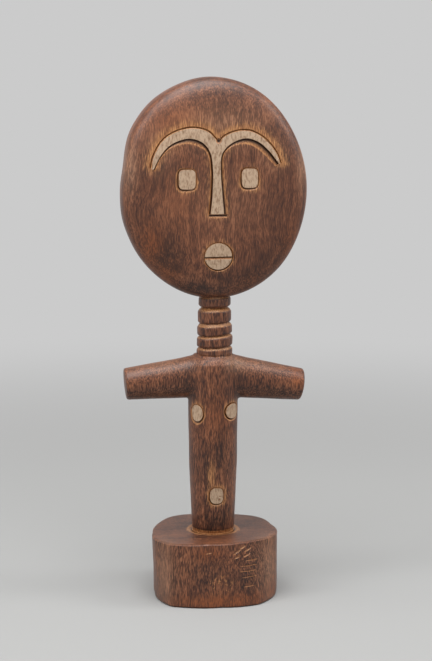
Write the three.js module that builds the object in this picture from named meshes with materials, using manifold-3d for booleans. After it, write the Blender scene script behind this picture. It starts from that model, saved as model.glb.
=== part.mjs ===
// An ashanti fertility doll: a round flat head on a ringed neck, two stub arms, a round trunk
// and a block foot, all carved from one length of wood.
// Units are millimetres, +Z is up and the doll faces -Y. The origin is under the middle of it.

import * as THREE from 'three';
import { mergeVertices } from 'three/addons/utils/BufferGeometryUtils.js';
import Module from 'manifold-3d';

const wasm = await Module();
wasm.setup();

// Driving dimensions

const overallHeight = 350;
const crownRise = 0.5; // the crown is that much fuller than the head's oval

const head = {
  halfWidth: 62.2,
  halfHeight: 73.2,
  halfThickness: 19.5,
  faceFlatness: 4, // the higher, the flatter the face
  rimFlatness: 4, // the higher, the flatter the band round the edge
  segments: 72,
  rings: 9,
};

// Where the knife left the round of the head fuller or leaner than a true oval.
// Angles run from the doll's left hand side, which is +X, over the top.
const headFullness = [
  { angle: 32, rise: -0.6, spread: 22 },
  { angle: 98, rise: 0.6, spread: 16 },
  { angle: 135, rise: 2.2, spread: 20 },
  { angle: 151, rise: 0.8, spread: 8 },
  { angle: 169, rise: -0.9, spread: 8 },
  { angle: 195, rise: 0.7, spread: 9 },
  { angle: 214, rise: 0.9, spread: 18 },
  { angle: 316, rise: 0.6, spread: 18 },
];

const body = {
  y: 1.5, // the trunk, neck and head stand a little behind the middle of the foot block
  neckX: 0.7,
  trunkX: -0.4,
};

// Each ring of the neck from the shoulders up, with the groove above it
const neckRings = [
  { bottom: 164.5, top: 168.6, radius: 12.0, grooveRadius: 10.4 },
  { bottom: 170.4, top: 176.6, radius: 11.9, grooveRadius: 10.0 },
  { bottom: 178.4, top: 184.4, radius: 11.6, grooveRadius: 9.8 },
  { bottom: 186.6, top: 195.2, radius: 11.1, grooveRadius: 8.3 },
  { bottom: 197.0, top: 203.0, radius: 10.7, grooveRadius: 9.9 },
];
const ringEdge = 0.6; // worn corner of a ring
const grooveUndercut = 0.4; // a groove is deepest just under the ring above it
const neckTilt = { height: 179, slope: 0.07, spread: 14 }; // the grooves rise towards +X there
const neckRoot = { inset: 1.4, overlap: 6 }; // it runs on into the shoulders and the head
const topGrooveHeight = 1.4; // between the top ring and the head
const neckSegments = 28;

// The trunk from the foot block to the shoulders: height, radius
const trunkProfile = [
  [42.0, 14.4],
  [57, 14.9],
  [70, 15.5],
  [90, 16.3],
  [122, 16.7],
  [154, 16.9],
  [158.6, 16.2],
  [162.0, 14.4],
  [163.8, 12.2],
];
const trunkSegments = 40;
const trunkRoot = 1; // how far the trunk runs on below the cut at its foot

// Each arm tapers along its own line. It is tallest at the shoulder, but no thicker there.
const arms = [
  {
    shoulder: [-8, 149.5],
    end: [-60.0, 145.2],
    shoulderRadius: 15.4,
    midRadius: 12.4,
    endRadius: 10.7,
    endBulge: 0.4,
  },
  {
    shoulder: [8, 149.5],
    end: [60.1, 142.0],
    shoulderRadius: 15.3,
    midRadius: 12.7,
    endRadius: 10.7,
    endBulge: 1.8,
  },
];
const armSegments = 28;
const armHalfThickness = 10.8; // from front to back
const armEndEdge = 0.8; // worn corner round the end of an arm
const armHollow = { at: 0.25, lean: 0.55 }; // the shoulder slims fast: share of the length, of the taper
const armMiddle = 0.55; // where the middle radius is measured, as a share of the length

// The foot block is a rough drum with knife facets: corners as x, y and corner radius
const blockHeight = 42.9;
const blockTop = [
  [-43.5, -21.5, 3],
  [-33.5, -35.5, 8],
  [-16, -41, 39],
  [21.5, -34, 4],
  [40, -20.5, 2],
  [41.5, 17.5, 41],
  [34.5, 32, 27],
  [4, 44.8, 60],
  [-26, 41, 24],
  [-42, 12, 60],
];
const blockUnderside = [
  [-40.5, -23, 6],
  [-34.5, -36.5, 9],
  [-12.5, -44.5, 52],
  [25.5, -40.5, 8],
  [39.5, -22, 8],
  [40.5, 17, 39],
  [34, 31, 26],
  [4, 44, 60],
  [-26, 40.2, 24],
  [-42.5, 11, 57],
];
const blockTopEdge = 0.7;
const blockBottomEdge = 1.6;
const cornerSteps = 4;

// Knife cuts on the face, as places across and up from the middle of the head.
// The third number is how far the cut slopes out from its steep wall to its lip.
const underLeftBrow = [
  [-42.0, 13.6, 0.9],
  [-37.6, 22.5, 1.1],
  [-30.5, 30.1, 1.9],
  [-18.7, 34.0, 3.4],
  [-9.5, 31.1, 3.3],
  [-4.9, 25.0, 2.0],
  [-3.1, 14.3, 1.8],
  [-3.4, -3.2, 1.8],
  [-4.6, -15.6, 1.8],
];
const underRightBrow = [
  [40.9, 17.3, 3.0],
  [34.2, 25.7, 3.8],
  [26.6, 31.9, 4.0],
  [18.5, 33.9, 3.6],
  [9.0, 30.4, 1.9],
  [3.3, 24.2, 1.2],
  [2.3, 14.3, 1.6],
  [3.2, -1.2, 2.3],
  [4.5, -15.6, 2.7],
];
const overLeftBrow = [
  [-43.9, 15.0],
  [-42.7, 21.5],
  [-36.5, 32.8],
  [-27.7, 38.8],
  [-16.4, 41.4],
  [-5.9, 38.9],
  [0.9, 32.0],
];
const overRightBrow = [
  [0.9, 32.0],
  [4.2, 35.6],
  [13.2, 39.2],
  [22.1, 39.1],
  [31.1, 34.4],
  [39.3, 25.2],
  [42.7, 17.3],
];
const browDepth = 1.5;
const browSteps = 28;
const lineSteps = 18;
const lineDepth = 0.9;
const lineHalfWidth = 0.7;
const notch = { at: [0.9, 32.6], radius: 1.8, depth: 1.6 };
const noseFoot = { from: [-5.6, -15.8], to: [6.4, -15.8], width: 2.2 };

// Rounded outlines cut round the eyes and mouth: centre, half width, half height, squareness
const leftEye = { at: [-20.6, 7.5], half: [7.0, 6.6], squareness: 4 };
const rightEye = { at: [21.0, 7.9], half: [6.2, 6.7], squareness: 3.4 };
const mouth = { at: [0.7, -43.6], half: [9.6, 9.4], squareness: 2 };
const mouthSlit = { from: [-8.7, -44.0], to: [10.1, -43.8], halfWidth: 1.0 };

// The same on the trunk: degrees round from the front towards +X, and height
const leftBreast = { turn: -48.6, height: 126.1, half: [5.6, 6.3], squareness: 2 };
const rightBreast = { turn: 45.5, height: 127.1, half: [6.9, 5.8], squareness: 2 };
const navel = { turn: 1.8, height: 69.4, half: [5.3, 6.2], squareness: 2.2 };

// The cut that frees the foot of the trunk from the top of the block
const footCut = { width: 3.2, depth: 1.1 };

const cutClearance = 0.9; // how far a cutting wedge stands proud of the wood
const wood = { color: 0x5a3a2b, roughness: 0.55, metalness: 0 };

// Derived places

const headCentreZ = overallHeight - head.halfHeight - crownRise;
const radians = THREE.MathUtils.degToRad;

// Closed solids from rings and faces

function solidFrom(points, faces) {
  let volume = 0;
  for (const [a, b, c] of faces) {
    volume += new THREE.Vector3().crossVectors(points[a], points[b]).dot(points[c]);
  }
  const outward = volume > 0 ? faces : faces.map(([a, b, c]) => [a, c, b]);
  const mesh = new wasm.Mesh({
    numProp: 3,
    vertProperties: new Float32Array(points.flatMap((p) => [p.x, p.y, p.z])),
    triVerts: new Uint32Array(outward.flat()),
  });
  return new wasm.Manifold(mesh);
}

function solidFromGeometry(geometry) {
  const plain = geometry.clone();
  plain.deleteAttribute('normal');
  plain.deleteAttribute('uv');
  const merged = mergeVertices(plain, 1e-4);
  const position = merged.getAttribute('position');
  const index = merged.getIndex().array;
  const points = [];
  for (let i = 0; i < position.count; i++) {
    points.push(new THREE.Vector3().fromBufferAttribute(position, i));
  }
  const faces = [];
  for (let i = 0; i < index.length; i += 3) {
    const face = [index[i], index[i + 1], index[i + 2]];
    if (new Set(face).size === 3) faces.push(face);
  }
  return solidFrom(points, faces);
}

// Joins rings of equal length, one after the other, into a closed skin. The two ends are
// closed by a fan from the middle of the ring, or the last ring joins the first.
function loft(rings, looped = false) {
  const count = rings[0].length;
  const points = rings.flat();
  const faces = [];
  const bands = looped ? rings.length : rings.length - 1;
  for (let i = 0; i < bands; i++) {
    const here = i * count;
    const next = ((i + 1) % rings.length) * count;
    for (let j = 0; j < count; j++) {
      const k = (j + 1) % count;
      faces.push([here + j, here + k, next + k], [here + j, next + k, next + j]);
    }
  }
  if (!looped) {
    for (const [ring, flip] of [[0, true], [rings.length - 1, false]]) {
      const middle = new THREE.Vector3();
      rings[ring].forEach((p) => middle.addScaledVector(p, 1 / count));
      points.push(middle);
      for (let j = 0; j < count; j++) {
        const edge = [ring * count + j, ring * count + (j + 1) % count];
        faces.push(flip ? [edge[1], edge[0], points.length - 1] : [...edge, points.length - 1]);
      }
    }
  }
  return solidFrom(points, faces);
}

// Turns a profile of [radius, height] points about +Z
function turned(profile, segments) {
  const outline = profile.map(([radius, height]) => new THREE.Vector2(radius, height));
  const geometry = new THREE.LatheGeometry(outline, segments);
  geometry.rotateX(Math.PI / 2);
  return geometry;
}

// The head

function headRadiusFactor(angle) {
  let rise = 0;
  for (const place of headFullness) {
    const away = Math.abs(((THREE.MathUtils.radToDeg(angle) - place.angle + 540) % 360) - 180);
    rise += place.rise * Math.exp(-((away / place.spread) ** 2));
  }
  return 1 + rise / Math.hypot(
    head.halfWidth * Math.cos(angle),
    head.halfHeight * Math.sin(angle),
  );
}

// How far the face stands in front of the middle of the head, across and up from its centre
function faceDepth(across, up) {
  const angle = Math.atan2(up / head.halfHeight, across / head.halfWidth);
  const reach = Math.hypot(across / head.halfWidth, up / head.halfHeight);
  const part = Math.min(reach / headRadiusFactor(angle), 1);
  return head.halfThickness * (1 - part ** head.faceFlatness) ** (1 / head.rimFlatness);
}

function headSolid() {
  const rings = [];
  const steps = head.rings * 2;
  for (let i = 1; i < steps; i++) {
    const tilt = Math.PI * (i / steps);
    const part = Math.sin(tilt) ** (2 / head.faceFlatness);
    const cosine = Math.cos(tilt);
    const depth = Math.sign(cosine) * Math.abs(cosine) ** (2 / head.rimFlatness);
    const ring = [];
    for (let j = 0; j < head.segments; j++) {
      const angle = 2 * Math.PI * (j / head.segments);
      const reach = part * headRadiusFactor(angle);
      ring.push(new THREE.Vector3(
        head.halfWidth * Math.cos(angle) * reach,
        body.y - head.halfThickness * depth,
        headCentreZ + head.halfHeight * Math.sin(angle) * reach,
      ));
    }
    rings.push(ring);
  }
  return loft(rings);
}

// The neck, trunk and arms

function neckSolid() {
  const inHead = headCentreZ - head.halfHeight + neckRoot.overlap;
  const first = neckRings[0];
  const root = first.bottom - neckRoot.overlap;
  const profile = [[0, root], [first.radius - neckRoot.inset, root]];
  neckRings.forEach((ring, i) => {
    const above = neckRings[i + 1] ?? { bottom: ring.top + topGrooveHeight };
    profile.push(
      [ring.radius - ringEdge, ring.bottom],
      [ring.radius, ring.bottom + ringEdge],
      [ring.radius, ring.top - ringEdge],
      [ring.radius - ringEdge, ring.top],
      [ring.grooveRadius, above.bottom - grooveUndercut],
    );
  });
  profile.push([neckRings.at(-1).grooveRadius, inHead], [0, inHead]);
  const geometry = turned(profile, neckSegments);
  tiltGrooves(geometry);
  geometry.translate(body.neckX, body.y, 0);
  return solidFromGeometry(geometry);
}

function tiltGrooves(geometry) {
  const position = geometry.getAttribute('position');
  for (let i = 0; i < position.count; i++) {
    const height = position.getZ(i);
    const nearness = Math.exp(-(((height - neckTilt.height) / neckTilt.spread) ** 2));
    position.setZ(i, height + neckTilt.slope * nearness * position.getX(i));
  }
}

function trunkRadius(height) {
  let below = trunkProfile[0];
  for (const station of trunkProfile) {
    if (station[0] > height) {
      const part = (height - below[0]) / (station[0] - below[0]);
      return THREE.MathUtils.lerp(below[1], station[1], THREE.MathUtils.clamp(part, 0, 1));
    }
    below = station;
  }
  return below[1];
}

function trunkSolid() {
  const bottom = blockHeight - footCut.depth - trunkRoot;
  const profile = [[0, bottom], [trunkProfile[0][1], bottom]];
  for (const [height, radius] of trunkProfile) {
    profile.push([radius, height]);
  }
  profile.push([0, trunkProfile.at(-1)[0]]);
  const geometry = turned(profile, trunkSegments);
  geometry.translate(body.trunkX, body.y, 0);
  return solidFromGeometry(geometry);
}

function armSolid(arm) {
  const from = new THREE.Vector3(arm.shoulder[0], body.y, arm.shoulder[1]);
  const to = new THREE.Vector3(arm.end[0], body.y, arm.end[1]);
  const length = from.distanceTo(to);
  const profile = [
    [0, 0],
    [arm.shoulderRadius, 0],
    [THREE.MathUtils.lerp(arm.shoulderRadius, arm.midRadius, armHollow.lean), length * armHollow.at],
    [arm.midRadius, length * armMiddle],
    [arm.endRadius, length - armEndEdge],
    [arm.endRadius - armEndEdge * 0.4, length - armEndEdge * 0.3],
    [arm.endRadius - armEndEdge, length + arm.endBulge * 0.15],
    [arm.endRadius * 0.6, length + arm.endBulge * 0.7],
    [0, length + arm.endBulge],
  ];
  const geometry = turned(profile, armSegments);
  flattenArm(geometry);
  const along = to.clone().sub(from).normalize();
  const turn = new THREE.Quaternion().setFromUnitVectors(new THREE.Vector3(0, 0, 1), along);
  geometry.applyQuaternion(turn);
  geometry.translate(from.x, from.y, from.z);
  return solidFromGeometry(geometry);
}

function flattenArm(geometry) {
  const position = geometry.getAttribute('position');
  for (let i = 0; i < position.count; i++) {
    const radius = Math.hypot(position.getX(i), position.getY(i));
    position.setY(i, position.getY(i) * Math.min(1, armHalfThickness / Math.max(radius, 1)));
  }
}

// The foot block

// Points round a polygon whose corners are [x, y, radius], drawn in by inset
function roundedOutline(corners, inset, height) {
  const points = [];
  corners.forEach(([x, y, radius], i) => {
    const corner = new THREE.Vector2(x, y);
    const before = new THREE.Vector2(...corners.at(i - 1).slice(0, 2)).sub(corner);
    const after = new THREE.Vector2(...corners[(i + 1) % corners.length].slice(0, 2)).sub(corner);
    const reach = 0.49 * Math.min(before.length(), after.length());
    before.normalize();
    after.normalize();
    const half = Math.acos(before.dot(after)) / 2;
    const cut = Math.min(radius / Math.tan(half), reach);
    const arcRadius = cut * Math.tan(half);
    const inward = before.clone().add(after).normalize();
    const centre = corner.clone().addScaledVector(inward, arcRadius / Math.sin(half));
    const start = corner.clone().addScaledVector(before, cut).sub(centre).angle();
    let sweep = corner.clone().addScaledVector(after, cut).sub(centre).angle() - start;
    sweep = ((sweep + 3 * Math.PI) % (2 * Math.PI)) - Math.PI;
    for (let j = 0; j <= cornerSteps; j++) {
      const angle = start + sweep * (j / cornerSteps);
      points.push(new THREE.Vector3(
        centre.x + (arcRadius - inset) * Math.cos(angle),
        centre.y + (arcRadius - inset) * Math.sin(angle),
        height,
      ));
    }
  });
  return points;
}

function blockSolid() {
  return loft([
    roundedOutline(blockUnderside, blockBottomEdge, 0),
    roundedOutline(blockUnderside, blockBottomEdge * 0.3, blockBottomEdge * 0.3),
    roundedOutline(blockUnderside, 0, blockBottomEdge),
    roundedOutline(blockTop, 0, blockHeight - blockTopEdge),
    roundedOutline(blockTop, blockTopEdge, blockHeight),
  ]);
}

// Knife cuts

// Each place function puts a point (u, v) of a flat drawing on the wood, lifted off it by lift
function onFace(u, v, lift) {
  return new THREE.Vector3(u, body.y - faceDepth(u, v) - lift, headCentreZ + v);
}

function onTrunk(u, v, lift) {
  const angle = u / trunkRadius(v);
  const radius = trunkRadius(v) + lift;
  return new THREE.Vector3(
    body.trunkX + radius * Math.sin(angle),
    body.y - radius * Math.cos(angle),
    v,
  );
}

function onBlock(u, v, lift) {
  return new THREE.Vector3(u, v, blockHeight + lift);
}

// Evenly spaced stations [u, v, width] along a smooth curve through the given ones
function smoothStations(stations, count, closed = false) {
  const knots = stations.map(([u, v, width = 0]) => new THREE.Vector3(u, v, width));
  const curve = new THREE.CatmullRomCurve3(knots, closed, 'centripetal');
  const points = curve.getSpacedPoints(count);
  if (closed) points.pop();
  return points;
}

// A wedge along a line: its edge runs depth under the wood, its left side leans out by
// leftWidth and its right side by rightWidth. Widths are numbers or come from the station.
function wedge(place, path, { depth, left, right, closed = false }) {
  const spread = 1 + cutClearance / depth;
  const rings = path.map((point, i) => {
    const before = path[closed ? (i + path.length - 1) % path.length : Math.max(i - 1, 0)];
    const after = path[closed ? (i + 1) % path.length : Math.min(i + 1, path.length - 1)];
    const along = new THREE.Vector2(after.x - before.x, after.y - before.y).normalize();
    const side = new THREE.Vector2(-along.y, along.x);
    const leftWidth = (left ?? point.z) * spread;
    const rightWidth = (right ?? point.z) * spread;
    return [
      place(point.x, point.y, -depth),
      place(point.x + side.x * leftWidth, point.y + side.y * leftWidth, cutClearance),
      place(point.x - side.x * rightWidth, point.y - side.y * rightWidth, cutClearance),
    ];
  });
  return loft(rings, closed);
}

const wall = 0.08; // how far a nearly upright side of a cut leans out

function browCuts() {
  const fine = { depth: lineDepth, left: lineHalfWidth, right: lineHalfWidth };
  const foot = [[...noseFoot.from, noseFoot.width], [...noseFoot.to, noseFoot.width]];
  return [
    wedge(onFace, smoothStations(underLeftBrow, browSteps), { depth: browDepth, left: wall }),
    wedge(onFace, smoothStations(underRightBrow, browSteps), { depth: browDepth, right: wall }),
    wedge(onFace, smoothStations(overLeftBrow, lineSteps), fine),
    wedge(onFace, smoothStations(overRightBrow, lineSteps), fine),
    wedge(onFace, smoothStations(foot, 2), { depth: browDepth, left: wall }),
    roundPit(notch),
  ];
}

function roundPit({ at, radius, depth }) {
  const corners = 6;
  const pointShare = 0.05; // the pit ends in a small flat
  const rim = [];
  const spread = 1 + cutClearance / depth;
  for (let i = 0; i < corners; i++) {
    const angle = 2 * Math.PI * (i / corners);
    rim.push([at[0] + radius * spread * Math.cos(angle), at[1] + radius * spread * Math.sin(angle)]);
  }
  return loft([
    rim.map(([u, v]) => onFace(
      THREE.MathUtils.lerp(at[0], u, pointShare),
      THREE.MathUtils.lerp(at[1], v, pointShare),
      -depth,
    )),
    rim.map(([u, v]) => onFace(u, v, cutClearance)),
  ]);
}

// A closed rounded outline, from an oval at squareness 2 to a rounded square at 4
function ovalPath([u, v], [halfWidth, halfHeight], squareness, count) {
  const path = [];
  for (let i = 0; i < count; i++) {
    const angle = 2 * Math.PI * (i / count);
    const cosine = Math.cos(angle);
    const sine = Math.sin(angle);
    path.push(new THREE.Vector3(
      u + halfWidth * Math.sign(cosine) * Math.abs(cosine) ** (2 / squareness),
      v + halfHeight * Math.sign(sine) * Math.abs(sine) ** (2 / squareness),
      0,
    ));
  }
  return path;
}

function faceOutlines() {
  const cut = { depth: lineDepth, left: lineHalfWidth, right: lineHalfWidth, closed: true };
  const outlines = [leftEye, rightEye, mouth].map(({ at, half, squareness }) => (
    wedge(onFace, ovalPath(at, half, squareness, 24), cut)
  ));
  const slit = smoothStations([mouthSlit.from, mouthSlit.to], 4);
  const { halfWidth } = mouthSlit;
  outlines.push(wedge(onFace, slit, { depth: lineDepth, left: halfWidth, right: halfWidth }));
  return outlines;
}

function trunkOutlines() {
  const cut = { depth: lineDepth, left: lineHalfWidth, right: lineHalfWidth, closed: true };
  return [leftBreast, rightBreast, navel].map(({ turn, height, half, squareness }) => {
    const around = radians(turn) * trunkRadius(height);
    return wedge(onTrunk, ovalPath([around, height], half, squareness, 20), cut);
  });
}

function footOutline() {
  const radius = trunkProfile[0][1];
  const path = ovalPath([body.trunkX, body.y], [radius, radius], 2, trunkSegments);
  return wedge(onBlock, path, {
    depth: footCut.depth,
    left: wall,
    right: footCut.width,
    closed: true,
  });
}

// The whole doll

function dollSolid() {
  const block = blockSolid().subtract(footOutline());
  const parts = [headSolid(), neckSolid(), trunkSolid(), ...arms.map(armSolid), block];
  const whole = parts.reduce((joined, part) => joined.add(part));
  const cuts = [...browCuts(), ...faceOutlines(), ...trunkOutlines()];
  return cuts.reduce((carved, cut) => carved.subtract(cut), whole);
}

function meshFrom(name, solid, material) {
  const { vertProperties, triVerts } = solid.getMesh();
  const geometry = new THREE.BufferGeometry();
  geometry.setAttribute('position', new THREE.BufferAttribute(vertProperties, 3));
  geometry.setIndex(new THREE.BufferAttribute(triVerts, 1));
  geometry.computeVertexNormals();
  const mesh = new THREE.Mesh(geometry, material);
  mesh.name = name;
  return mesh;
}

const model = new THREE.Group();
model.add(meshFrom('doll', dollSolid(), new THREE.MeshStandardMaterial(wood)));

export default model;
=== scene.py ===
# Carved and stained wooden fertility doll on a pale studio floor.
# Sizes are millimetres for a doll 350 tall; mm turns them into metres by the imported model's box.

import math
import bpy
import bmesh
import numpy as np
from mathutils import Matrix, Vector


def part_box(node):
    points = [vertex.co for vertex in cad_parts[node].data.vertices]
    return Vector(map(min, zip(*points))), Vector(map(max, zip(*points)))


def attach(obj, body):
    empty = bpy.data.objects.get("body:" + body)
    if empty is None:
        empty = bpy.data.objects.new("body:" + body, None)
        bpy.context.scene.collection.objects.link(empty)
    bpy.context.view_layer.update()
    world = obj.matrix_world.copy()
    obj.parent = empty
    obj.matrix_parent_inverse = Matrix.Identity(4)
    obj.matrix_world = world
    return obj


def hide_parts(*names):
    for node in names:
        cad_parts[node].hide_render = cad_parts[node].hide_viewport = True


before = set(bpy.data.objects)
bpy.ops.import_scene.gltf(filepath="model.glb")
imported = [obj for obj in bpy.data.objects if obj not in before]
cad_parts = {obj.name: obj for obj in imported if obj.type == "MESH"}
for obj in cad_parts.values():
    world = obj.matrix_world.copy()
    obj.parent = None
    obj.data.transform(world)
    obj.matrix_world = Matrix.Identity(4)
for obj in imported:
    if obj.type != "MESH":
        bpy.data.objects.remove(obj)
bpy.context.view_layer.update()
dollLow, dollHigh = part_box("doll")
mm = (dollHigh.z - dollLow.z) / 350
print("frame loaded, one millimetre is", round(mm, 6), "m")

body = {
    "y": 1.5,  # trunk, neck and head stand a little behind the middle of the block
    "neckX": 0.7,
    "trunkX": -0.4,
    "cutClearance": 0.9,  # how far a cutting wedge stands proud of the wood
    "wall": 0.08,  # how far a nearly upright side of a cut leans out
    "seed": 7,
}


# Mesh helpers

def meshObject(name, points, faces):
    mesh = bpy.data.meshes.new(name)
    mesh.from_pydata([tuple(p) for p in np.asarray(points, float)], [], [tuple(f) for f in faces])
    mesh.update()
    mesh.materials.append(None)
    mesh.materials.append(None)
    obj = bpy.data.objects.new(name, mesh)
    bpy.context.scene.collection.objects.link(obj)
    work = bmesh.new()
    work.from_mesh(mesh)
    bmesh.ops.recalc_face_normals(work, faces=work.faces)
    work.to_mesh(mesh)
    work.free()
    return obj


def applyModifiers(obj):
    graph = bpy.context.evaluated_depsgraph_get()
    graph.update()
    fresh = bpy.data.meshes.new_from_object(obj.evaluated_get(graph))
    obj.modifiers.clear()
    obj.data = fresh
    return obj


def joinOrCut(obj, others, operation):
    for other in others:
        step = obj.modifiers.new(operation.lower(), "BOOLEAN")
        step.operation = operation
        step.solver = "MANIFOLD"
        step.object = other
        applyModifiers(obj)
        bpy.data.objects.remove(other)
    return obj


def pointsOf(obj):
    flat = np.empty(len(obj.data.vertices) * 3)
    obj.data.vertices.foreach_get("co", flat)
    return flat.reshape(-1, 3)


def setPoints(obj, points):
    obj.data.vertices.foreach_set("co", np.asarray(points).ravel())
    obj.data.update()


# The hand of the carver: slow swells in the surface, never quite true

def waver(points, size, seed):
    random = np.random.default_rng(body["seed"] + seed)
    total = np.zeros(len(points))
    for turn in range(6):
        direction = random.normal(size=3)
        direction *= 2 * math.pi / (size * random.uniform(0.7, 1.4) * np.linalg.norm(direction))
        total += np.sin(points @ direction + random.uniform(0, 2 * math.pi))
    return total / 6


# A square grid laid over a unit disc: places x, y with rows of even cells

def discGrid(cells):
    steps = np.linspace(-1, 1, cells + 1)
    across, up = np.meshgrid(steps, steps)
    flat = np.abs(across) > np.abs(up)
    reach = np.where(flat, across, up)
    other = np.where(flat, up, across)
    share = np.divide(other, reach, out=np.zeros_like(other), where=reach != 0)
    turn = share * math.pi / 4
    near = reach * np.cos(turn)
    side = reach * np.sin(turn)
    x = np.where(flat, near, side)
    y = np.where(flat, side, near)
    return x, y


# Two discs joined at their edge. place(angle, reach, side) gives the points of one side,
# with reach from 0 in the middle to 1 at the shared edge.

def pillow(name, cells, place):
    x, y = discGrid(cells)
    angle = np.arctan2(y, x).ravel()
    reach = np.minimum(np.hypot(x, y).ravel(), 1)
    size = cells + 1
    front = np.arange(size * size).reshape(size, size)
    inner = np.zeros((size, size), bool)
    inner[1:-1, 1:-1] = True
    back = front.copy()
    back[inner] = size * size + np.arange(inner.sum())
    points = np.vstack([place(angle, reach, 1), place(angle, reach, -1)[inner.ravel()]])
    faces = []
    for sheet in (front, back[:, ::-1]):
        corners = (sheet[:-1, :-1], sheet[:-1, 1:], sheet[1:, 1:], sheet[1:, :-1])
        faces += np.stack([c.ravel() for c in corners], 1).tolist()
    return meshObject(name, points, faces)


# Head

head = {
    "halfWidth": 62.2,
    "halfHeight": 73.2,
    "halfThickness": 19.5,
    "centreUp": 276.3,
    "flatness": 4,  # of the face and of the band round the edge
    "cells": 120,
    "swell": 0.3,
    # where the round of the head is fuller or leaner than an oval: angle, rise, spread
    "fullness": [
        (32, -0.6, 22), (98, 0.6, 16), (135, 2.2, 20), (151, 0.8, 8),
        (169, -0.9, 8), (195, 0.7, 9), (214, 0.9, 18), (316, 0.6, 18),
    ],
}


def headFactor(angle):
    rise = np.zeros_like(angle)
    for middle, height, spread in head["fullness"]:
        away = np.abs((np.degrees(angle) - middle + 540) % 360 - 180)
        rise += height * np.exp(-((away / spread) ** 2))
    return 1 + rise / np.hypot(head["halfWidth"] * np.cos(angle), head["halfHeight"] * np.sin(angle))


def faceDepth(across, up):
    across = np.asarray(across, float)
    up = np.asarray(up, float)
    angle = np.arctan2(up / head["halfHeight"], across / head["halfWidth"])
    reach = np.hypot(across / head["halfWidth"], up / head["halfHeight"]) / headFactor(angle)
    rest = 1 - np.minimum(reach, 1) ** head["flatness"]
    swell = waver(np.stack([across, up, up * 0], -1).reshape(-1, 3), 38, 1).reshape(across.shape)
    return head["halfThickness"] * rest ** (1 / head["flatness"]) + head["swell"] * swell * rest


def headPoints(angle, reach, side):
    tilt = np.linspace(0, math.pi / 2, 400)
    power = 2 / head["flatness"]
    out = np.sin(tilt) ** power * head["halfWidth"]
    deep = np.cos(tilt) ** power * head["halfThickness"]
    length = np.concatenate([[0], np.cumsum(np.hypot(np.diff(out), np.diff(deep)))])
    part = np.interp(reach * length[-1], length, out) / head["halfWidth"]
    spread = part * headFactor(angle)
    across = head["halfWidth"] * np.cos(angle) * spread
    up = head["halfHeight"] * np.sin(angle) * spread
    depth = np.where(reach > 0.9999, 0, faceDepth(across, up))
    return np.stack([across, body["y"] - side * depth, head["centreUp"] + up], 1)


# Knife cuts. A place function puts a point of a flat drawing on the wood, lifted off it.

def onFace(u, v, lift):
    return Vector((u, body["y"] - float(faceDepth(u, v)) - lift, head["centreUp"] + v))


def smoothStations(stations, count, closed=False):
    knots = np.array([list(s) + [0] * (4 - len(s)) for s in stations], float)
    if closed:
        knots = np.vstack([knots[-1:], knots, knots[:2]])
    else:
        knots = np.vstack([2 * knots[0] - knots[1], knots, 2 * knots[-1] - knots[-2]])
    gaps = np.sqrt(np.linalg.norm(np.diff(knots[:, :2], axis=0), axis=1))
    times = np.concatenate([[0], np.cumsum(gaps)])
    fine = []
    for i in range(1, len(knots) - 2):
        for t in np.linspace(times[i], times[i + 1], 24, endpoint=False):
            fine.append(centripetal(knots[i - 1:i + 3], times[i - 1:i + 3], t))
    fine.append(knots[-2])
    fine = np.array(fine)
    length = np.concatenate([[0], np.cumsum(np.linalg.norm(np.diff(fine[:, :2], axis=0), axis=1))])
    wanted = np.linspace(0, length[-1], count + 1)
    even = np.stack([np.interp(wanted, length, fine[:, k]) for k in range(4)], 1)
    return even[:-1] if closed else even


def centripetal(p, t, at):
    a = [((t[k + 1] - at) * p[k] + (at - t[k]) * p[k + 1]) / (t[k + 1] - t[k]) for k in range(3)]
    b = [((t[k + 2] - at) * a[k] + (at - t[k]) * a[k + 1]) / (t[k + 2] - t[k]) for k in range(2)]
    return ((t[2] - at) * b[0] + (at - t[1]) * b[1]) / (t[2] - t[1])


# A wedge along a line: stations are u, v, left width, right width; depth may follow the line.

def wedge(name, place, path, depth, closed=False):
    count = len(path)
    depths = np.broadcast_to(depth, count)
    points = []
    for i in range(count):
        before = path[(i - 1) % count if closed else max(i - 1, 0)]
        after = path[(i + 1) % count if closed else min(i + 1, count - 1)]
        along = Vector((after[0] - before[0], after[1] - before[1])).normalized()
        side = Vector((-along.y, along.x))
        u, v, left, right = path[i]
        spread = 1 + body["cutClearance"] / depths[i]
        points.append(place(u, v, -depths[i]))
        points.append(place(u + side.x * left * spread, v + side.y * left * spread, body["cutClearance"]))
        points.append(place(u - side.x * right * spread, v - side.y * right * spread, body["cutClearance"]))
    faces = []
    for i in range(count if closed else count - 1):
        here = 3 * i
        there = 3 * ((i + 1) % count)
        for j in range(3):
            k = (j + 1) % 3
            faces.append((here + j, here + k, there + k, there + j))
    if not closed:
        faces += [(2, 1, 0), (3 * count - 3, 3 * count - 2, 3 * count - 1)]
    return markKnife(meshObject(name, points, faces))


# The faces of a cutter stay known as knife cuts after it is taken away
def markKnife(cutter):
    for polygon in cutter.data.polygons:
        polygon.material_index = 1
    return cutter


def widths(stations, left=None, right=None):
    wide = []
    for station in stations:
        u, v = station[:2]
        own = station[2] if len(station) > 2 else 0
        wide.append((u, v, own if left is None else left, own if right is None else right))
    return wide


def oval(at, half, squareness, count):
    angle = np.linspace(0, 2 * math.pi, count, endpoint=False)
    cosine = np.cos(angle)
    sine = np.sin(angle)
    power = 2 / squareness
    u = at[0] + half[0] * np.sign(cosine) * np.abs(cosine) ** power
    v = at[1] + half[1] * np.sign(sine) * np.abs(sine) ** power
    return np.stack([u, v], 1)


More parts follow.
